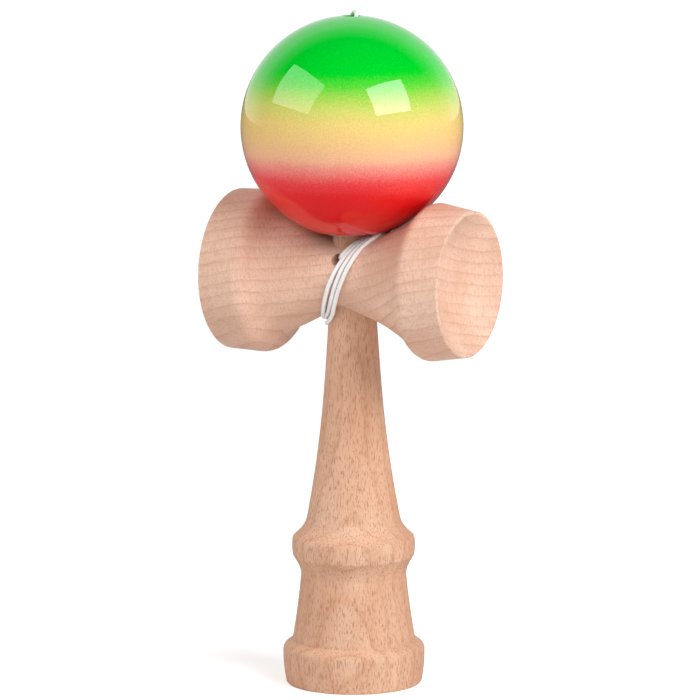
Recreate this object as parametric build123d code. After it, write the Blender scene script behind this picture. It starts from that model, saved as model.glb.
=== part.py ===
from build123d import *
from math import cos, pi, radians, sin, sqrt, tan
import os

# Kendama: a turned stick with a spike and a base cup, a crosspiece with two cups, and a holed
# ball on a string. Millimetres. The origin is the centre of the stick's base, +Z runs up the
# stick, and +X runs along the crosspiece towards its small cup.

# Ball
BALL_R = 30.0
BALL_HOLE_R = 10.0
BALL_HOLE_BEVEL = 0.6
DRILL_HALF_ANGLE = 60.0
BALL_STRING_HOLE_R = 2.15
BALL_STRING_HOLE_BEVEL = 0.4
BEVEL_OVERRUN = 1.0
BALL_TOP_WALL = 12.0

# Crosspiece, a turning about an axis parallel to X
CROSS_Z = 111.6
CROSS_HALF = 35.7
BIG_CUP_R = 21.9
SMALL_CUP_R = 19.7
BIG_SHOULDER_R = 22.2
SMALL_SHOULDER_R = 21.2
SHOULDER_INSET = 9.45
WAIST_R = 9.8
CUP_LIP = 0.9
CUP_RELIEF = 0.9
LIP_ROUND = 0.3

# Stick, a turning about Z
BASE_R = 18.5
BASE_BELLY_R = 19.3
BASE_TOP_R = 18.2
BASE_H = 11.0
BASE_CUP_LIP = 1.9
FOOT_R = 16.75
FOOT_HOLLOW = 0.2
NECK_R = 14.35
NECK_Z = 29.6
RING_R = 16.75
RING_LOW_Z = 35.2
RING_TOP_Z = 39.6
GRIP_LOW_R = 12.6
GRIP_LOW_Z = 46.0
GRIP_MID_R = 9.4
GRIP_MID_Z = 66.0
TAPER_R = 6.75
TAPER_Z = 97.0
TAPER_SLOPE = 0.060
TIP_ROUND = 3.0

# Fits
SEAT_GAP = 0.06
BALL_SEAT_GAP = 0.15
BEAD_GAP = 0.2
TIP_GAP = 1.2

# String, its bead and its holes
STRING_D = 1.2
TURNS = 3
BEAD_R = 4.2
BEAD_HOLE_R = 0.8
KNOT_R = 1.7
WINDING_GAP = 0.05
WINDING_THICKNESS = 1.2
WINDING_CLEARANCE = 0.3
WINDING_MID_X = 0.6
WINDING_CORNER_X = 3.8
STRING_HOLE_R = 1.5
STICK_HOLE_R = 1.3
STRING_HOLE_RISE = 5.5
STRING_HOLE_TURN = 4.0
KNOT_SEAT_R = 2.2
KNOT_SEAT_DEPTH = 3.6
KNOT_BEAD_OVERLAP = 0.1
TAIL_CORNER_R = WAIST_R + 0.1
TAIL_END_X = 2.4
TAIL_END_RISE = 6.5
TAIL_END_R = WAIST_R + 1.9
DROP_ROUTE = [
    (0.0, 0.0, 180.5),
    (0.0, 0.0, 185.4),
    (-2.5, 4.6, 186.4),
    (-6.7, 12.4, 184.2),
    (-11.8, 21.9, 176.8),
    (-15.6, 28.8, 164.6),
    (-16.6, 30.7, 150.8),
    (-16.0, 30.9, 137.0),
    (-13.6, 28.9, 124.5),
    (-10.0, 24.2, 114.6),
    (-6.0, 18.4, 108.4),
    (-3.0, 13.4, 106.4),
    (-2.0, 10.5, 110.4),
]


def taper_r(z):
    """Radius of the stick's straight taper, which the crosspiece seats on and the spike ends."""
    return TAPER_R - TAPER_SLOPE * (z - TAPER_Z)


def cup_depth(rim_r):
    """Depth of a cup that holds the ball on its rim, clear of its floor."""
    return BALL_R - sqrt(BALL_R**2 - rim_r**2) + CUP_RELIEF


def cup_cutter(rim_r):
    """Ball-shaped cutter for a cup, its rim circle on the XY plane and its floor towards -Z."""
    depth = cup_depth(rim_r)
    radius = (rim_r**2 + depth**2) / (2 * depth)
    return Pos(0, 0, radius - depth) * Sphere(radius)


def cross_curve(grow=0.0):
    """Outline of the crosspiece between its two shoulders, as radius over length."""
    shoulder = CROSS_HALF - SHOULDER_INSET
    big_lean = (SHOULDER_INSET, BIG_SHOULDER_R - BIG_CUP_R)
    small_lean = (SHOULDER_INSET, SMALL_CUP_R - SMALL_SHOULDER_R)
    points = [
        (-shoulder, BIG_SHOULDER_R + grow),
        (-shoulder + 5.6, WAIST_R + 7.95 + grow),
        (-shoulder + 11.9, WAIST_R + 4.15 + grow),
        (-shoulder + 18.5, WAIST_R + 1.0 + grow),
        (0.0, WAIST_R + grow),
        (shoulder - 16.5, WAIST_R + 2.2 + grow),
        (shoulder - 9.0, WAIST_R + 5.7 + grow),
        (shoulder - 4.2, WAIST_R + 9.1 + grow),
        (shoulder, SMALL_SHOULDER_R + grow),
    ]
    return Spline(*points, tangents=[big_lean, small_lean])


def about_cross_axis(face):
    """Turn a face drawn as (length, radius) about the crosspiece's axis."""
    return Pos(0, 0, CROSS_Z) * revolve(Plane.XZ * face, Axis.X)


def closed_face(curve, *corners):
    """Face bounded by the curve and by straight lines through the corners back to its start."""
    line = Polyline(curve @ 1, *corners, curve @ 0)
    return make_face(curve + line)


def crosspiece_blank(grow=0.0):
    """Solid turning from shoulder to shoulder, grown outwards by a clearance."""
    curve = cross_curve(grow)
    return about_cross_axis(closed_face(curve, ((curve @ 1).X, 0), ((curve @ 0).X, 0)))


def seated_ball_z():
    """Height of the ball's centre when it stands on the crosspiece over its hole."""
    curve = cross_curve()
    mouth_r = BALL_HOLE_R + BALL_HOLE_BEVEL
    rest = 0.0
    for step in range(401):
        point = curve @ (step / 400)
        if mouth_r <= abs(point.X) < BALL_R:
            rest = max(rest, point.Y + sqrt(BALL_R**2 - point.X**2))
    return CROSS_Z + rest + BALL_SEAT_GAP


BALL_Z = seated_ball_z()
CONE_RISE = (BALL_HOLE_R - BALL_STRING_HOLE_R) / tan(radians(DRILL_HALF_ANGLE))
CAVITY_TOP_Z = BALL_Z + BALL_R - BALL_TOP_WALL
CONE_APEX_Z = CAVITY_TOP_Z + BALL_STRING_HOLE_R / tan(radians(DRILL_HALF_ANGLE))
BEAD_Z = CONE_APEX_Z - (BEAD_R + BEAD_GAP) / sin(radians(DRILL_HALF_ANGLE))
KNOT_Z = BEAD_Z - BEAD_R - KNOT_R + KNOT_BEAD_OVERLAP
TIP_Z = KNOT_Z - KNOT_R - TIP_GAP
STRING_HOLE_Z = CROSS_Z + STRING_HOLE_RISE


def make_stick():
    """Stick: base cup, rim, foot, ring, grip, taper and spike, with the string's cross hole."""
    cup_r = BASE_R - BASE_CUP_LIP
    base = Polyline((0, 0), (BASE_R - 0.3, 0), (BASE_R, 0.4))
    belly_top = (BASE_BELLY_R, 0.8 * BASE_H)
    belly = ThreePointArc((BASE_R, 0.4), (BASE_BELLY_R - 0.1, 0.5 * BASE_H), belly_top)
    edge = ThreePointArc(belly_top, (BASE_BELLY_R - 0.35, 0.93 * BASE_H), (BASE_TOP_R, BASE_H))
    foot_z = BASE_H + 0.9
    step = Line((BASE_TOP_R, BASE_H), (FOOT_R, foot_z))
    hollow_r = (FOOT_R + NECK_R) / 2 - FOOT_HOLLOW
    foot = ThreePointArc((FOOT_R, foot_z), (hollow_r, (foot_z + NECK_Z) / 2), (NECK_R, NECK_Z))
    ring_low = (RING_R - 0.25, RING_LOW_Z)
    ring_top = (RING_R - 0.1, RING_TOP_Z)
    cove = Spline(
        (NECK_R, NECK_Z),
        ((NECK_R + RING_R) / 2 - 0.15, RING_LOW_Z - 1.8),
        ring_low,
        tangents=[foot % 1, (1.0, 1.3)],
    )
    ring = ThreePointArc(ring_low, (RING_R, (RING_LOW_Z + RING_TOP_Z) / 2), ring_top)
    ring_edge = ThreePointArc(ring_top, (RING_R - 0.3, RING_TOP_Z + 0.7), (RING_R - 0.8, RING_TOP_Z + 1.2))
    slope = Spline(
        ring_edge @ 1,
        (GRIP_LOW_R + 1.25, GRIP_LOW_Z - 3.0),
        (GRIP_LOW_R, GRIP_LOW_Z),
        tangents=[(-1.0, 0.85), (-0.19, 1.0)],
    )
    grip = Spline(
        (GRIP_LOW_R, GRIP_LOW_Z),
        (GRIP_MID_R, GRIP_MID_Z),
        (TAPER_R, TAPER_Z),
        tangents=[(-0.19, 1.0), (-TAPER_SLOPE, 1.0)],
    )
    tip_r = taper_r(TIP_Z - TIP_ROUND)
    spike = Line((TAPER_R, TAPER_Z), (tip_r, TIP_Z - TIP_ROUND))
    nose = Spline((tip_r, TIP_Z - TIP_ROUND), (0, TIP_Z), tangents=[(-TAPER_SLOPE, 1.0), (-1.0, 0.0)])
    axis = Line((0, TIP_Z), (0, 0))
    face = make_face(
        base + belly + edge + step + foot + cove + ring + ring_edge + slope + grip + spike + nose + axis
    )
    stick = revolve(Plane.XZ * face, Axis.Z)
    stick -= Rot(180, 0, 0) * cup_cutter(cup_r)
    stick -= hole_along(-BALL_HOLE_R, BALL_HOLE_R, STICK_HOLE_R)
    return stick - hole_along(-BALL_HOLE_R, -knot_distance() + KNOT_SEAT_DEPTH / 2, KNOT_SEAT_R)


def hole_frame():
    """Frame of the string's hole: its origin on the stick's axis, its +Z out of the front."""
    turn = radians(STRING_HOLE_TURN)
    return Plane((0, 0, STRING_HOLE_Z), x_dir=(cos(turn), -sin(turn), 0), z_dir=(-sin(turn), -cos(turn), 0))


def hole_along(start, end, radius):
    """Round cutter or cord along the string's hole, between two distances from the axis."""
    return hole_frame() * Pos(0, 0, start) * Cylinder(
        radius, end - start, align=(Align.CENTER, Align.CENTER, Align.MIN)
    )


def knot_distance():
    """Distance of the stick's own knot behind the axis, inside its seat."""
    return taper_r(STRING_HOLE_Z) - KNOT_SEAT_DEPTH / 2


def make_crosspiece():
    """Crosspiece: one turning with a cup in each end, a tapered bore and a string hole."""
    curve = cross_curve()
    rims = Polyline(
        curve @ 1,
        (CROSS_HALF - LIP_ROUND, SMALL_CUP_R),
        (CROSS_HALF, SMALL_CUP_R - LIP_ROUND),
        (CROSS_HALF, 0),
        (-CROSS_HALF, 0),
        (-CROSS_HALF, BIG_CUP_R - LIP_ROUND),
        (-CROSS_HALF + LIP_ROUND, BIG_CUP_R),
        curve @ 0,
    )
    body = about_cross_axis(make_face(curve + rims))
    body -= Pos(CROSS_HALF, 0, CROSS_Z) * Rot(0, 90, 0) * cup_cutter(SMALL_CUP_R - CUP_LIP)
    body -= Pos(-CROSS_HALF, 0, CROSS_Z) * Rot(0, -90, 0) * cup_cutter(BIG_CUP_R - CUP_LIP)
    low, high = CROSS_Z - CROSS_HALF, CROSS_Z + CROSS_HALF
    bore = Cone(
        taper_r(low) + SEAT_GAP,
        taper_r(high) + SEAT_GAP,
        high - low,
        align=(Align.CENTER, Align.CENTER, Align.MIN),
    )
    body -= Pos(0, 0, low) * bore
    return body - hole_along(0, BALL_R, STRING_HOLE_R)


def hole_bevel(hole_r, bevel):
    """Cone that breaks the edge of a hole in a ball's top at 45 degrees, the ball at the origin."""
    edge_z = sqrt(BALL_R**2 - (hole_r + bevel) ** 2)
    cone = Cone(hole_r, hole_r + bevel + BEVEL_OVERRUN, bevel + BEVEL_OVERRUN)
    return Pos(0, 0, edge_z + (BEVEL_OVERRUN - bevel) / 2) * cone


def make_ball():
    """Ball: a bevelled hole from below with a drill-point roof, and a string hole at the top."""
    ball = Pos(0, 0, BALL_Z) * Sphere(BALL_R)
    floor = CAVITY_TOP_Z - CONE_RISE
    above = (Align.CENTER, Align.CENTER, Align.MIN)
    ball -= Pos(0, 0, floor - BALL_R * 2) * Cylinder(BALL_HOLE_R, BALL_R * 2, align=above)
    ball -= Pos(0, 0, floor) * Cone(BALL_HOLE_R, BALL_STRING_HOLE_R, CONE_RISE, align=above)
    ball -= Pos(0, 0, CAVITY_TOP_Z - BEVEL_OVERRUN) * Cylinder(BALL_STRING_HOLE_R, BALL_R, align=above)
    ball -= Pos(0, 0, BALL_Z) * Rot(180, 0, 0) * hole_bevel(BALL_HOLE_R, BALL_HOLE_BEVEL)
    return ball - Pos(0, 0, BALL_Z) * hole_bevel(BALL_STRING_HOLE_R, BALL_STRING_HOLE_BEVEL)


def make_bead():
    """Drilled bead that keeps the string in the ball and lets it swivel."""
    bead = Sphere(BEAD_R) - Cylinder(BEAD_HOLE_R, 3 * BEAD_R)
    return Pos(0, 0, BEAD_Z) * bead


def make_ball_end():
    """String from its knot below the bead up to the ball's string hole."""
    top_z = DROP_ROUTE[0][2] - WINDING_GAP
    run = Cylinder(STRING_D / 2, top_z - KNOT_Z, align=(Align.CENTER, Align.CENTER, Align.MIN))
    return Pos(0, 0, KNOT_Z) * (run + Sphere(KNOT_R))


def tube_along(points):
    """Cord along straight runs joined by tangent arcs, each as large as its two runs allow."""
    corners = [Vector(*point) for point in points]
    radii = []
    for before, corner, after in zip(corners, corners[1:], corners[2:]):
        half_turn = radians((corner - before).get_angle(after - corner)) / 2
        shorter = min((corner - before).length, (after - corner).length)
        radii.append(0.45 * shorter / tan(half_turn))
    print("cord arc radii", [round(radius, 1) for radius in radii])
    path = FilletPolyline(*points, radius=radii)
    start = Plane(path @ 0, z_dir=path % 0)
    tube = sweep(start * Circle(STRING_D / 2), path)
    print("cord length", round(path.length, 1))
    print("volume ratio", round(tube.volume / (pi * STRING_D**2 / 4 * path.length), 4))
    return tube


def make_winding():
    """Closed band of the turns round the waist: right of the spike on top, left of the stick below."""
    width = TURNS * STRING_D
    low_x = -taper_r(CROSS_Z - WAIST_R) - WINDING_CLEARANCE - width / 2
    high_x = taper_r(CROSS_Z + WAIST_R) + WINDING_CLEARANCE + width / 2
    middle = Polyline(
        (high_x, CROSS_Z + 2 * WAIST_R),
        (high_x, CROSS_Z + WAIST_R + 0.4),
        (WINDING_MID_X, CROSS_Z),
        (low_x + WINDING_CORNER_X, CROSS_Z - 0.62 * WAIST_R),
        (low_x, CROSS_Z - 0.86 * WAIST_R),
        (low_x, CROSS_Z - 2 * WAIST_R),
    )
    slab = extrude(Plane.XZ * trace(middle, width), 2 * WAIST_R, both=True)
    band = crosspiece_blank(WINDING_GAP + WINDING_THICKNESS) - crosspiece_blank(WINDING_GAP)
    return band & slab


def make_tail():
    """End of the string, from the winding into the crosspiece's hole and up to the stick."""
    bore_r = taper_r(STRING_HOLE_Z) + SEAT_GAP
    mouth = hole_frame().location * Pos(0, 0, bore_r)
    corner = hole_frame().location * Pos(0, 0, TAIL_CORNER_R)
    band_y = -sqrt(TAIL_END_R**2 - TAIL_END_RISE**2)
    band_point = (TAIL_END_X, band_y, CROSS_Z + TAIL_END_RISE)
    return tube_along([tuple(mouth.position), tuple(corner.position), band_point])


def make_stick_end():
    """String through the stick with the knot that holds it in its seat."""
    knot = hole_frame() * Pos(0, 0, -knot_distance()) * Sphere(KNOT_R)
    return hole_along(-knot_distance(), taper_r(STRING_HOLE_Z) - 0.05, STRING_D / 2) + knot


PIECES = {
    "stick": make_stick,
    "crosspiece": make_crosspiece,
    "ball": make_ball,
    "ball_bead": make_bead,
    "string_ball_end": make_ball_end,
    "string_drop": lambda: tube_along(DROP_ROUTE),
    "string_winding": make_winding,
    "string_tail": make_tail,
    "string_stick_end": make_stick_end,
}

os.makedirs("parts", exist_ok=True)
print("ball centre", round(BALL_Z, 2), "bead", round(BEAD_Z, 2), "spike tip", round(TIP_Z, 2))
for name, make in PIECES.items():
    export_step(make(), f"parts/{name}.step")
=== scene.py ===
# Kendama: a bare beech stick and crosspiece, a lacquered ball with airbrushed fades, its bead
# and a braided string wound round the crosspiece. Metres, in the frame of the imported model: the
# origin is the centre of the stick's base, +Z runs up the stick, +X towards the small cup.
from math import cos, pi, radians, sin, sqrt

import bmesh
import bpy
from mathutils import Matrix, Quaternion, Vector
from mathutils.bvhtree import BVHTree


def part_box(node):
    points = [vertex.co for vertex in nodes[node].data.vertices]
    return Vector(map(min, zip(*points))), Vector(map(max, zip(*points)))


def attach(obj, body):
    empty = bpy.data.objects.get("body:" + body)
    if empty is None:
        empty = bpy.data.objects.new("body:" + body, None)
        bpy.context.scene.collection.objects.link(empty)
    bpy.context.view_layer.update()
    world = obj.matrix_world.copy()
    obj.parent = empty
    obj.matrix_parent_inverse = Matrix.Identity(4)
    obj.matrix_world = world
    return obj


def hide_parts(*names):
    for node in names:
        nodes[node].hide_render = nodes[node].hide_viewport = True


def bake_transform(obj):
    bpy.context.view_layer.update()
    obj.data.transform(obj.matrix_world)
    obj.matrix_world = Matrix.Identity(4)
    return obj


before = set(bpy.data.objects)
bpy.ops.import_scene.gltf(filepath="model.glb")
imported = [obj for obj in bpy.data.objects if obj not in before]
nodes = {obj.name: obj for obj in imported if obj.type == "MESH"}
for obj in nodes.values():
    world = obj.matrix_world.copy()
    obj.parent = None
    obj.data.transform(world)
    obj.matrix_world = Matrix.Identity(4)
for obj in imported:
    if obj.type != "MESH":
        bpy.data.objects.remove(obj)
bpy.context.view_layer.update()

MM = 0.001

# Places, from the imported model; the ball's highest edge is its string hole's
STRING_HOLE_EDGE_R = 2.55 * MM
_, BALL_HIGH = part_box("ball")
BALL_R = BALL_HIGH.x
BALL_CENTRE = Vector((0, 0, BALL_HIGH.z - sqrt(BALL_R**2 - STRING_HOLE_EDGE_R**2)))
CROSS_LOW, CROSS_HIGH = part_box("crosspiece")
CROSS_CENTRE = (CROSS_LOW + CROSS_HIGH) / 2
BEAD_LOW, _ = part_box("ball_bead")
STICK_END_LOW, STICK_END_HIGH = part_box("string_stick_end")

# String; the braid's depth is a share of the string's radius
STRING_D = 1.2 * MM
STRING_R = STRING_D / 2
BRAID_ROUND = 20
BRAID_STRANDS = 4
BRAID_PITCH = 2.6 * MM
BRAID_DEPTH = 0.07
BRAID_STEP = 0.24 * MM
WELD = STRING_D / 1000
CURVE_STEPS = 10

# From the knot under the bead, through the ball's top, down its back and in to the waist, in
# millimetres
DROP_ROUTE = [
    (0.0, 0.0, 160.6),
    (0.0, 0.0, 168.0),
    (0.0, 0.0, 175.0),
    (0.9, 0.4, 180.5),
    (1.1, 0.7, 182.0),
    (0.5, 1.8, 182.85),
    (-1.6, 4.4, 182.75),
    (-6.2, 11.5, 180.9),
    (-10.4, 19.3, 175.0),
    (-13.5, 25.0, 166.4),
    (-15.4, 28.5, 156.0),
    (-16.0, 29.6, 144.5),
    (-15.4, 29.2, 133.0),
    (-13.0, 27.0, 122.0),
    (-9.6, 23.2, 113.2),
    (-6.0, 18.4, 107.6),
    (-2.8, 14.3, 106.2),
    (-0.4, 12.0, 107.4),
]

# How the turns lie on the waist: the angle runs from its top over the front, in degrees, and the
# places are along the crosspiece, in millimetres. The first turns sag below it.
FRONT_ANGLES = (0, 22, 40, 60, 75, 90, 105, 128, 146, 155, 165, 180)
FRONT_PLACES = (
    (10.3, 8.9, 6.4, 4.9, 3.6, 2.35, 1.0, -0.95, -2.6, -4.4, -6.3, -7.3),
    (8.9, 7.1, 4.9, 3.3, 1.9, 0.85, -0.45, -2.3, -4.1, -5.3, -6.6, -7.3),
    (7.5, 5.6, 3.3, 1.6, 0.15, -1.1, -2.35, -4.2, -5.75, -6.6, -7.5, -8.4),
)
TURN_SAG = (2.4, 0.5, 0.0)
SAG_MIDDLE = 160
SAG_SPREAD = 42
BACK_START = 200
BACK_STEP = 20
BACK_LOW = -6.0
TURN_PITCH = 1.2
TURN_LIFT = 0.15 * MM
ARRIVAL = ((264, 1.2), (285, 3.9), (310, 7.0), (335, 9.3))
TAIL_TOP = 6.2
TAIL_TURNS = ((15, 5.1), (27, 3.7), (36, 2.6), (43, 1.9), (48, 1.45))
TAIL_END = [(0.95, -8.3, 117.95), (0.6, -7.5, 117.35), (0.4, -6.2, 117.1)]

# The string's part in the stick's cross hole: how far out it is, in millimetres, and whether it
# runs a step below or above the middle of the hole
HOLE_Z = (STICK_END_LOW.z + STICK_END_HIGH.z) / 2
HOLE_TURN = radians(4)
HOLE_OUT = Vector((-sin(HOLE_TURN), -cos(HOLE_TURN), 0))
HOLE_STEP = 0.35 * MM
STRAND_ASIDE = 0.55 * MM
STRAND_ROUTE = (
    (-5.2, -1),
    (-2, -1),
    (2, -1),
    (5.25, -1),
    (6.45, -1),
    (6.45, 1),
    (6.65, 1),
    (6.95, 1),
)

# Knots
KNOT_SIZE = 0.42 * MM
KNOT_STEPS = 72
KNOT_OVERLAP = 3
BALL_KNOT_BELOW_BEAD = 1.6 * MM
STICK_KNOT_OUT = -3.9 * MM

# Camera, light of the room, and floor
CAMERA_PLACE = Vector((0.6356, -1.1779, 0.3015))
CAMERA_AIM = Vector((-0.46958, 0.86904, -0.15504))
CAMERA_RIGHT = Vector((0.8797, 0.4754, 0))
CAMERA_ROLL = -0.22
CAMERA_LENS = 257.4
CAMERA_SENSOR = 36
CAMERA_REACH = 50
ROOM_LIGHT = 0.26
ROOM_SIDE = 0.35
FLOOR_HALF = 6
FLOOR_GLOW = (0.42, 0.85)
FLOOR_GLOW_REACH = (0.2, 1.2)


def in_metres(points):
    """The points, given in millimetres, as vectors in metres."""
    return [Vector(point) * MM for point in points]


def tone(red, green, blue):
    """Screen colour from 0 to 1 as a linear colour with alpha."""
    linear = [
        c / 12.92 if c < 0.04045 else ((c + 0.055) / 1.055) ** 2.4 for c in (red, green, blue)
    ]
    return linear + [1]


# ---------------------------------------------------------------- shapes


def new_object(name, mesh):
    """Object with that mesh, in the scene."""
    made = bpy.data.objects.new(name, mesh)
    bpy.context.collection.objects.link(made)
    return made


def smooth_line(points):
    """Points along the smooth curve that the points control."""
    curve = bpy.data.curves.new("line", "CURVE")
    curve.dimensions = "3D"
    spline = curve.splines.new("NURBS")
    spline.points.add(len(points) - 1)
    for place, point in zip(points, spline.points):
        point.co = (*place, 1)
    spline.order_u = 3
    spline.use_endpoint_u = True
    spline.resolution_u = CURVE_STEPS
    made = new_object("line", curve)
    mesh = bpy.data.meshes.new_from_object(made)
    line = [vertex.co.copy() for vertex in mesh.vertices]
    bpy.data.objects.remove(made)
    return line


def length_of(line):
    """Length along a line of points."""
    return sum((b - a).length for a, b in zip(line, line[1:]))


def even_line(line, step):
    """The same line in points a step apart."""
    total = length_of(line)
    count = max(2, round(total / step))
    walk, reached, made = 0.0, 0, [line[0].copy()]
    for index in range(1, count):
        target = total * index / count
        while walk + (line[reached + 1] - line[reached]).length < target:
            walk += (line[reached + 1] - line[reached]).length
            reached += 1
        run = line[reached + 1] - line[reached]
        made.append(line[reached] + run * ((target - walk) / run.length))
    return made + [line[-1].copy()]


def frames_along(line):
    """Two directions across the line at each of its points, turned as little as possible."""
    ahead = [(b - a).normalized() for a, b in zip(line, line[1:])]
    ahead = [ahead[0]] + [(a + b).normalized() for a, b in zip(ahead, ahead[1:])] + [ahead[-1]]
    across = ahead[0].orthogonal().normalized()
    made = []
    for before, here in zip([ahead[0]] + ahead, ahead):
        across = before.rotation_difference(here) @ across
        across = (across - here * across.dot(here)).normalized()
        made.append((across, here.cross(across)))
    return made


def braided_cord(name, line):
    """Closed tube along the line, its surface plaited of strands that cross both ways."""
    path = even_line(line, BRAID_STEP)
    frames = frames_along(path)
    bm = bmesh.new()
    rows = len(path) - 1
    pitches = BRAID_STEP / BRAID_PITCH
    bmesh.ops.create_grid(bm, x_segments=rows, y_segments=BRAID_ROUND, size=1)
    wrap = bm.loops.layers.uv.new("wrap")
    placed = {}
    for vertex in bm.verts:
        along = round((vertex.co.x + 1) / 2 * rows)
        turn = round((vertex.co.y + 1) / 2 * BRAID_ROUND) / BRAID_ROUND
        placed[vertex] = (along, turn)
    for face in bm.faces:
        for loop in face.loops:
            along, turn = placed[loop.vert]
            loop[wrap].uv = (along * pitches, turn)
    for vertex, (along, turn) in placed.items():
        twist = 2 * pi * along * pitches
        around = 2 * pi * turn
        plait = cos(BRAID_STRANDS * around + twist) * cos(BRAID_STRANDS * around - twist)
        radius = STRING_R * (1 - BRAID_DEPTH / 2 + BRAID_DEPTH * plait)
        side, up = frames[along]
        vertex.co = path[along] + (side * cos(around) + up * sin(around)) * radius
    bmesh.ops.remove_doubles(bm, verts=bm.verts, dist=WELD)
    ends = [edge for edge in bm.edges if edge.is_boundary]
    bmesh.ops.holes_fill(bm, edges=ends, sides=0)
    bmesh.ops.recalc_face_normals(bm, faces=bm.faces)
    for face in bm.faces:
        face.smooth = True
    mesh = bpy.data.meshes.new(name)
    bm.to_mesh(mesh)
    bm.free()
    return new_object(name, mesh)


# ---------------------------------------------------------------- the string's route


def surface_of(node):
    """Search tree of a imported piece's surface."""
    mesh = nodes[node].data
    return BVHTree.FromPolygons(
        [vertex.co for vertex in mesh.vertices], [face.vertices for face in mesh.polygons]
    )


waist = surface_of("crosspiece")


def waist_radius(place):
    """Radius of the crosspiece's turning at a place along it, met from the back."""
    far = Vector((place * MM, CROSS_HIGH.x, CROSS_CENTRE.z))
    return waist.ray_cast(far, Vector((0, -1, 0)))[0].y


def on_waist(angle, place, sag=0.0):
    """Centre of a string on the waist, at an angle from its top and a place along it."""
    outwards = Vector((0, -sin(radians(angle)), cos(radians(angle))))
    reach = waist_radius(place) + STRING_R + TURN_LIFT + sag * MM
    return Vector((place * MM, 0, CROSS_CENTRE.z)) + outwards * reach


def sag_at(angle, most):
    """How far a loose turn hangs below the waist."""
    near = max(0.0, 1 - abs(angle - SAG_MIDDLE) / SAG_SPREAD)
    return most * near * near * (3 - 2 * near)


def back_of_turn(number, next_top):
    """Centres of a turn's rise over the back, from the stick's left to beside the spike."""
    low = BACK_LOW - TURN_PITCH * number
    made = []
    for angle in range(BACK_START, 360, BACK_STEP):
        share = (angle - BACK_START) / (360 - BACK_START)
        place = low + (next_top - low) * share * share * (3 - 2 * share)
        made.append(on_waist(angle, place, sag_at(angle, TURN_SAG[number])))
    return made


def winding():
    """Centres of all the turns, and of the tail that follows them into its hole."""
    made = [on_waist(angle, place) for angle, place in ARRIVAL]
    tops = [places[0] for places in FRONT_PLACES[1:]] + [TAIL_TOP]
    for number, (places, next_top) in enumerate(zip(FRONT_PLACES, tops)):
        for angle, place in zip(FRONT_ANGLES, places):
            made.append(on_waist(angle, place, sag_at(angle, TURN_SAG[number])))
        made += back_of_turn(number, next_top)
    made.append(on_waist(0, TAIL_TOP))
    made += [on_waist(angle, place) for angle, place in TAIL_TURNS]
    return made + in_metres(TAIL_END)


string_line = smooth_line(in_metres(DROP_ROUTE) + winding())
string = braided_cord("string", string_line)
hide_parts("string_ball_end", "string_drop", "string_winding", "string_tail")
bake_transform(string)


def stick_end_route():
    """Through the stick, up beside it and out through the crosspiece's hole."""
    aside = Vector((-HOLE_OUT.y, HOLE_OUT.x, 0)) * STRAND_ASIDE
    return [
        HOLE_OUT * (out * MM) + aside + Vector((0, 0, HOLE_Z + step * HOLE_STEP))
        for out, step in STRAND_ROUTE
    ]


stick_end = braided_cord("string_stick_part", smooth_line(stick_end_route()))
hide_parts("string_stick_end")
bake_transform(stick_end)


def knot(name, centre, body):
    """Pulled-tight overhand knot in the string's end, along a trefoil curve."""
    points = []
    for step in range(KNOT_STEPS):
        turn = 2 * pi * step / KNOT_STEPS
        across = sin(turn) + 2 * sin(2 * turn)
        up = cos(turn) - 2 * cos(2 * turn)
        points.append(centre + Vector((across, up, -1.3 * sin(3 * turn))) * KNOT_SIZE)
    made = braided_cord(name, smooth_line(points + points[:KNOT_OVERLAP]))
    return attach(made, body)


ball_knot_place = Vector((0, 0, BEAD_LOW.z - BALL_KNOT_BELOW_BEAD))
stick_knot_place = HOLE_OUT * STICK_KNOT_OUT + Vector((0, 0, HOLE_Z))
ball_knot = knot("string_ball_knot", ball_knot_place, "string_end")
stick_knot = knot("string_stick_knot", stick_knot_place, "stick")


# ---------------------------------------------------------------- materials


def add(tree, kind, inputs=None, **settings):
    """New shader node with its settings, and its inputs linked or set."""
    made = tree.nodes.new("ShaderNode" + kind)
    for key, value in settings.items():
        setattr(made, key, value)
    for key, value in (inputs or {}).items():
        if isinstance(value, bpy.types.NodeSocket):
            tree.links.new(value, made.inputs[key])
        else:
            made.inputs[key].default_value = value
    return made


def maths(tree, operation, *values):
    """Result of a maths node."""
    return add(tree, "Math", dict(enumerate(values)), operation=operation).outputs[0]


def mapped(tree, value, low, high, to_low, to_high):
    """The value moved from one range to another, and held at its ends."""
    inputs = {"Value": value, 1: low, 2: high, 3: to_low, 4: to_high}
    return add(tree, "MapRange", inputs).outputs[0]


def ramp(tree, value, stops):
    """Colour ramp over a value, from (place, colour) stops; a plain number is a grey."""
    made = add(tree, "ValToRGB", {"Fac": value})
    elements = made.color_ramp.elements
    while len(elements) < len(stops):
        elements.new(0.5)
    for element, (place, colour) in zip(elements, stops):
        element.position = place
        element.color = colour if isinstance(colour, list) else (colour, colour, colour, 1)
    return made.outputs["Color"]


def mixed(tree, factor, one, other, blend="MIX"):
    """Two colours mixed by a factor."""
    inputs = {0: factor, 6: one, 7: other}
    return add(tree, "Mix", inputs, data_type="RGBA", blend_type=blend).outputs[2]


def new_material(name):
    """Material with its tree and its surface shader."""
    made = bpy.data.materials.new(name)
    made.use_nodes = True
    return made, made.node_tree, made.node_tree.nodes["Principled BSDF"]


def bump(tree, shader, height, strength, distance):
    """Bump on the surface, from a height."""
    inputs = {"Height": height, "Strength": strength, "Distance": distance}
    tree.links.new(add(tree, "Bump", inputs).outputs[0], shader.inputs["Normal"])


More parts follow.
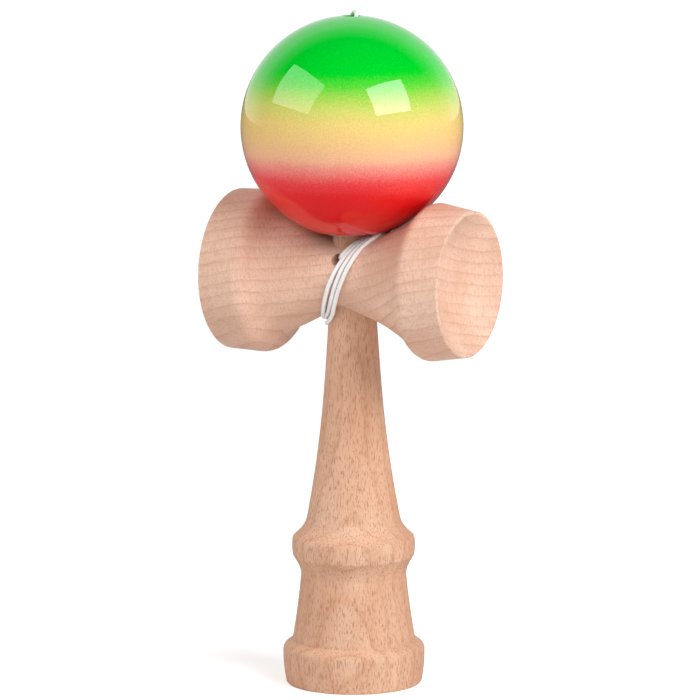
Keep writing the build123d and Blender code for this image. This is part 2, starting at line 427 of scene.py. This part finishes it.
def stretched_noise(tree, vector, scale, detail=2.0, roughness=0.5):
    """Noise whose grain is scaled differently along each axis."""
    place = add(tree, "VectorMath", {0: vector, 1: scale}, operation="MULTIPLY").outputs[0]
    inputs = {"Vector": place, "Scale": 1.0, "Detail": detail, "Roughness": roughness}
    return add(tree, "TexNoise", inputs).outputs["Fac"]


def even_noise(tree, vector, scale, detail=1.0):
    """Noise of the same grain every way."""
    inputs = {"Vector": vector, "Scale": scale, "Detail": detail}
    return add(tree, "TexNoise", inputs).outputs["Fac"]


def new_group(name, inputs, outputs):
    """Shader node group with its sockets, and its inner ends."""
    tree = bpy.data.node_groups.new(name, "ShaderNodeTree")
    for side, sockets in (("INPUT", inputs), ("OUTPUT", outputs)):
        for label, kind in sockets.items():
            tree.interface.new_socket(label, in_out=side, socket_type="NodeSocket" + kind)
    given = tree.nodes.new("NodeGroupInput").outputs
    return tree, given, tree.nodes.new("NodeGroupOutput").inputs


# How dark beech is across one growth layer
GROWTH_RING = [(0.0, 0.25), (0.10, 0.0), (0.55, 0.12), (0.84, 0.42), (0.93, 1.0), (1.0, 0.25)]


def beech_group():
    """Beech in millimetres: X along the grain, Y within a growth layer, Z through the layers."""
    colours = dict.fromkeys(("Pale", "Ring", "Fleck"), "Color")
    values = dict.fromkeys(("Layer", "Drift", "Rings", "Flecks", "Rays"), "Float")
    tree, given, out = new_group(
        "beech grain",
        {"Place": "Vector", **colours, **values},
        {"Color": "Color", "Height": "Float", "Roughness": "Float"},
    )
    place = given["Place"]
    depth = add(tree, "SeparateXYZ", {0: place}).outputs["Z"]
    drift = stretched_noise(tree, place, (0.02, 0.05, 0.05), detail=1.0)
    waver = stretched_noise(tree, place, (0.12, 0.35, 0.35))
    depth = maths(tree, "ADD", depth, maths(tree, "MULTIPLY", drift, given["Drift"]))
    depth = maths(tree, "ADD", depth, maths(tree, "MULTIPLY", waver, 0.9))
    phase = maths(tree, "FRACT", maths(tree, "DIVIDE", depth, given["Layer"]))
    line = ramp(tree, phase, GROWTH_RING)
    patch = stretched_noise(tree, place, (0.05, 0.12, 0.12), detail=1.0)
    line = maths(tree, "MULTIPLY", line, ramp(tree, patch, [(0.3, 0.45), (0.7, 1.0)]))
    fibre = stretched_noise(tree, place, (0.25, 3.2, 3.2), detail=3.0, roughness=0.6)
    fleck = stretched_noise(tree, place, (0.50, 3.0, 3.0), detail=1.5)
    fleck = ramp(tree, fleck, [(0.53, 0.0), (0.66, 1.0)])
    ray = stretched_noise(tree, place, (3.4, 1.5, 0.45), detail=1.0)
    ray = ramp(tree, ray, [(0.50, 0.0), (0.66, 1.0)])
    cloud = stretched_noise(tree, place, (0.03, 0.09, 0.09))
    cloud = ramp(tree, cloud, [(0.3, 0.0), (0.7, 0.5)])
    body = mixed(tree, cloud, given["Pale"], given["Ring"])
    body = mixed(tree, maths(tree, "MULTIPLY", line, given["Rings"]), body, given["Ring"])
    body = mixed(tree, maths(tree, "MULTIPLY", ray, given["Rays"]), body, given["Ring"])
    body = mixed(tree, maths(tree, "MULTIPLY", fleck, given["Flecks"]), body, given["Fleck"])
    shade = ramp(tree, fibre, [(0.25, 0.90), (0.75, 1.06)])
    body = mixed(tree, 1.0, body, shade, blend="MULTIPLY")
    tree.links.new(body, out["Color"])
    height = maths(tree, "MULTIPLY", fibre, 0.4)
    height = maths(tree, "SUBTRACT", height, maths(tree, "MULTIPLY", fleck, 0.6))
    height = maths(tree, "SUBTRACT", height, maths(tree, "MULTIPLY", line, 0.3))
    tree.links.new(height, out["Height"])
    tree.links.new(ramp(tree, fibre, [(0.2, 0.50), (0.8, 0.62)]), out["Roughness"])
    return tree


beech = beech_group()


def wood(name, along, through, shift, colours, values):
    """Bare beech, its grain along one direction and its layers stacked through another."""
    made, tree, shader = new_material(name)
    along = Vector(along).normalized()
    through = Vector(through)
    through = (through - along * through.dot(along)).normalized()
    turn = Matrix((along, through.cross(along), through)).to_euler()
    spot = add(tree, "TexCoord").outputs["Object"]
    inputs = {"Vector": spot, "Scale": [1 / MM] * 3, "Rotation": turn, "Location": shift}
    place = add(tree, "Mapping", inputs).outputs[0]
    grain = tree.nodes.new("ShaderNodeGroup")
    grain.node_tree = beech
    tree.links.new(place, grain.inputs["Place"])
    for key, value in {**colours, **values}.items():
        grain.inputs[key].default_value = value
    tree.links.new(grain.outputs["Color"], shader.inputs["Base Color"])
    tree.links.new(grain.outputs["Roughness"], shader.inputs["Roughness"])
    bump(tree, shader, grain.outputs["Height"], 0.25, 0.1 * MM)
    shader.inputs["Specular IOR Level"].default_value = 0.3
    return made


# Colours of the ball by height above its middle, in millimetres, and the heights' whole span
FADE_SPAN = 60
FADES = [
    (-30, (0.86, 0.01, 0.01)),
    (-20, (0.93, 0.05, 0.06)),
    (-16, (0.95, 0.09, 0.11)),
    (-12.5, (0.97, 0.27, 0.29)),
    (-9, (0.98, 0.56, 0.51)),
    (-6, (0.98, 0.74, 0.58)),
    (-1, (0.97, 0.80, 0.53)),
    (3, (0.96, 0.84, 0.51)),
    (7.5, (0.84, 0.86, 0.44)),
    (10.5, (0.66, 0.85, 0.34)),
    (13.5, (0.36, 0.84, 0.24)),
    (16.5, (0.00, 0.83, 0.16)),
    (30, (0.00, 0.77, 0.20)),
]


def lacquer():
    """Gloss lacquer: green over yellow over red, sprayed so that the colours meet in specks."""
    made, tree, shader = new_material("ball_lacquer")
    spot = add(tree, "TexCoord").outputs["Object"]
    place = add(tree, "Mapping", {"Vector": spot, "Location": -BALL_CENTRE}).outputs[0]
    height = add(tree, "SeparateXYZ", {0: place}).outputs["Z"]
    height = maths(tree, "DIVIDE", height, BALL_R * 2)
    for scale, reach in ((2600.0, 0.07), (60.0, 0.03)):
        spread = maths(tree, "SUBTRACT", even_noise(tree, place, scale), 0.5)
        height = maths(tree, "ADD", height, maths(tree, "MULTIPLY", spread, reach))
    height = maths(tree, "ADD", height, 0.5)
    colour = ramp(tree, height, [(0.5 + z / FADE_SPAN, tone(*shade)) for z, shade in FADES])
    grit = ramp(tree, even_noise(tree, place, 3400.0, detail=0.0), [(0.3, 0.86), (0.7, 1.0)])
    colour = mixed(tree, 1.0, colour, grit, blend="MULTIPLY")
    tree.links.new(colour, shader.inputs["Base Color"])
    shader.inputs["Roughness"].default_value = 0.35
    shader.inputs["Coat Weight"].default_value = 1.0
    shader.inputs["Coat Roughness"].default_value = 0.02
    shader.inputs["Coat IOR"].default_value = 1.5
    shader.inputs["Specular IOR Level"].default_value = 0.0
    return made


def cotton():
    """White braided string."""
    made, tree, shader = new_material("string_cotton")
    wrap = add(tree, "UVMap", uv_map="wrap").outputs[0]
    fuzz = stretched_noise(tree, wrap, (9, 40, 1))
    colour = ramp(tree, fuzz, [(0.3, tone(0.94, 0.94, 0.93)), (0.7, tone(1.0, 1.0, 1.0))])
    tree.links.new(colour, shader.inputs["Base Color"])
    shader.inputs["Roughness"].default_value = 0.55
    bump(tree, shader, fuzz, 0.3, 0.05 * MM)
    return made


def finish_with(material, *objects):
    """Put the material on the objects, in place of what they have."""
    for one in objects:
        one.data.materials.clear()
        one.data.materials.append(material)


crosspiece_wood = wood(
    "crosspiece_beech",
    along=(1, 0, 0.24),
    through=(0, 0.244, 1),
    shift=(13, 5, 3),
    colours={
        "Pale": tone(0.955, 0.81, 0.72),
        "Ring": tone(0.82, 0.61, 0.50),
        "Fleck": tone(0.66, 0.46, 0.34),
    },
    values={"Layer": 2.9, "Drift": 2.5, "Rings": 0.75, "Flecks": 0.14, "Rays": 0.42},
)
stick_wood = wood(
    "stick_beech",
    along=(0, 0, 1),
    through=(0.34, -0.94, 0),
    shift=(0, 7, 1),
    colours={
        "Pale": tone(0.92, 0.755, 0.64),
        "Ring": tone(0.80, 0.56, 0.42),
        "Fleck": tone(0.64, 0.40, 0.28),
    },
    values={"Layer": 3.4, "Drift": 7.0, "Rings": 0.75, "Flecks": 0.55, "Rays": 0.2},
)
finish_with(crosspiece_wood, nodes["crosspiece"])
finish_with(stick_wood, nodes["stick"], nodes["ball_bead"])
finish_with(lacquer(), nodes["ball"])
finish_with(cotton(), string, stick_end, ball_knot, stick_knot)


# ---------------------------------------------------------------- floor, lights and camera


def make_floor():
    """Plain pale floor; what the camera sees of it glows, and more so further out; in glossy
    reflections it is painted a darker grey, as painted shade in the reflections.
    """
    bm = bmesh.new()
    bmesh.ops.create_grid(bm, x_segments=1, y_segments=1, size=FLOOR_HALF)
    mesh = bpy.data.meshes.new("floor")
    bm.to_mesh(mesh)
    bm.free()
    made = new_object("floor", mesh)
    material, tree, shader = new_material("floor_pale")
    shader.inputs["Roughness"].default_value = 0.9
    shader.inputs["Specular IOR Level"].default_value = 0.1
    shader.inputs["Emission Color"].default_value = (1, 1, 1, 1)
    rays = add(tree, "LightPath").outputs
    spot = add(tree, "TexCoord").outputs["Object"]
    away = add(tree, "VectorMath", {0: spot}, operation="LENGTH").outputs["Value"]
    glow = mapped(tree, away, *FLOOR_GLOW_REACH, *FLOOR_GLOW)
    glow = maths(tree, "MULTIPLY", rays["Is Camera Ray"], glow)
    tree.links.new(glow, shader.inputs["Emission Strength"])
    # Painted shade in reflections: the floor is 0.97 grey for all other rays, but glossy rays see
    # it painted a darker 0.62 grey, so the ball reflects it dimmer
    shade = mixed(tree, rays["Is Glossy Ray"], tone(0.97, 0.97, 0.97), tone(0.62, 0.62, 0.62))
    tree.links.new(shade, shader.inputs["Base Color"])
    mesh.materials.append(material)


def soft_box(name, place, width, height, power):
    """Soft box that faces the ball."""
    light = bpy.data.lights.new(name, "AREA")
    light.shape = "RECTANGLE"
    light.size = width
    light.size_y = height
    light.energy = power
    made = new_object(name, light)
    aim = BALL_CENTRE - Vector(place)
    made.rotation_mode = "QUATERNION"
    made.rotation_quaternion = aim.to_track_quat("-Z", "Y")
    made.location = place


def facing(tree, towards, direction):
    """How far a direction in the room faces the given one, from -1 to 1."""
    inputs = {0: towards, 1: direction}
    return add(tree, "VectorMath", inputs, operation="DOT_PRODUCT").outputs["Value"]


def make_world():
    """White studio: bright behind the object in its reflections, lit more from the right."""
    world = bpy.data.worlds.new("studio")
    bpy.context.scene.world = world
    world.use_nodes = True
    tree = world.node_tree
    back = tree.nodes["Background"]
    towards = add(tree, "TexCoord").outputs["Generated"]
    mirrored = mapped(tree, facing(tree, towards, CAMERA_AIM), 0.2, 0.6, 0.0, 1.0)
    rays = add(tree, "LightPath").outputs
    glossy = maths(tree, "MULTIPLY", mirrored, rays["Is Glossy Ray"])
    side = facing(tree, towards, CAMERA_RIGHT)
    room = maths(tree, "MULTIPLY_ADD", side, ROOM_LIGHT * ROOM_SIDE, ROOM_LIGHT)
    soft = maths(tree, "MULTIPLY", maths(tree, "SUBTRACT", 1.0, rays["Is Glossy Ray"]), room)
    strength = maths(tree, "MAXIMUM", maths(tree, "ADD", glossy, soft), rays["Is Camera Ray"])
    tree.links.new(strength, back.inputs["Strength"])
    back.inputs["Color"].default_value = (1, 1, 1, 1)


def make_camera():
    """Long lens from the front right, a little above."""
    data = bpy.data.cameras.new("camera")
    data.lens = CAMERA_LENS
    data.sensor_width = CAMERA_SENSOR
    data.clip_end = CAMERA_REACH
    made = new_object("camera", data)
    made.rotation_mode = "QUATERNION"
    roll = Quaternion((0, 0, 1), radians(CAMERA_ROLL))
    made.rotation_quaternion = CAMERA_AIM.to_track_quat("-Z", "Y") @ roll
    made.location = CAMERA_PLACE
    bpy.context.scene.camera = made


make_floor()
make_world()
soft_box("left_soft_box", (-0.57, -0.60, 0.72), 0.92, 0.60, 5.2)
soft_box("right_soft_box", (0.79, -0.23, 0.67), 0.70, 0.52, 8.6)
make_camera()
bpy.context.scene.view_settings.view_transform = "Standard"
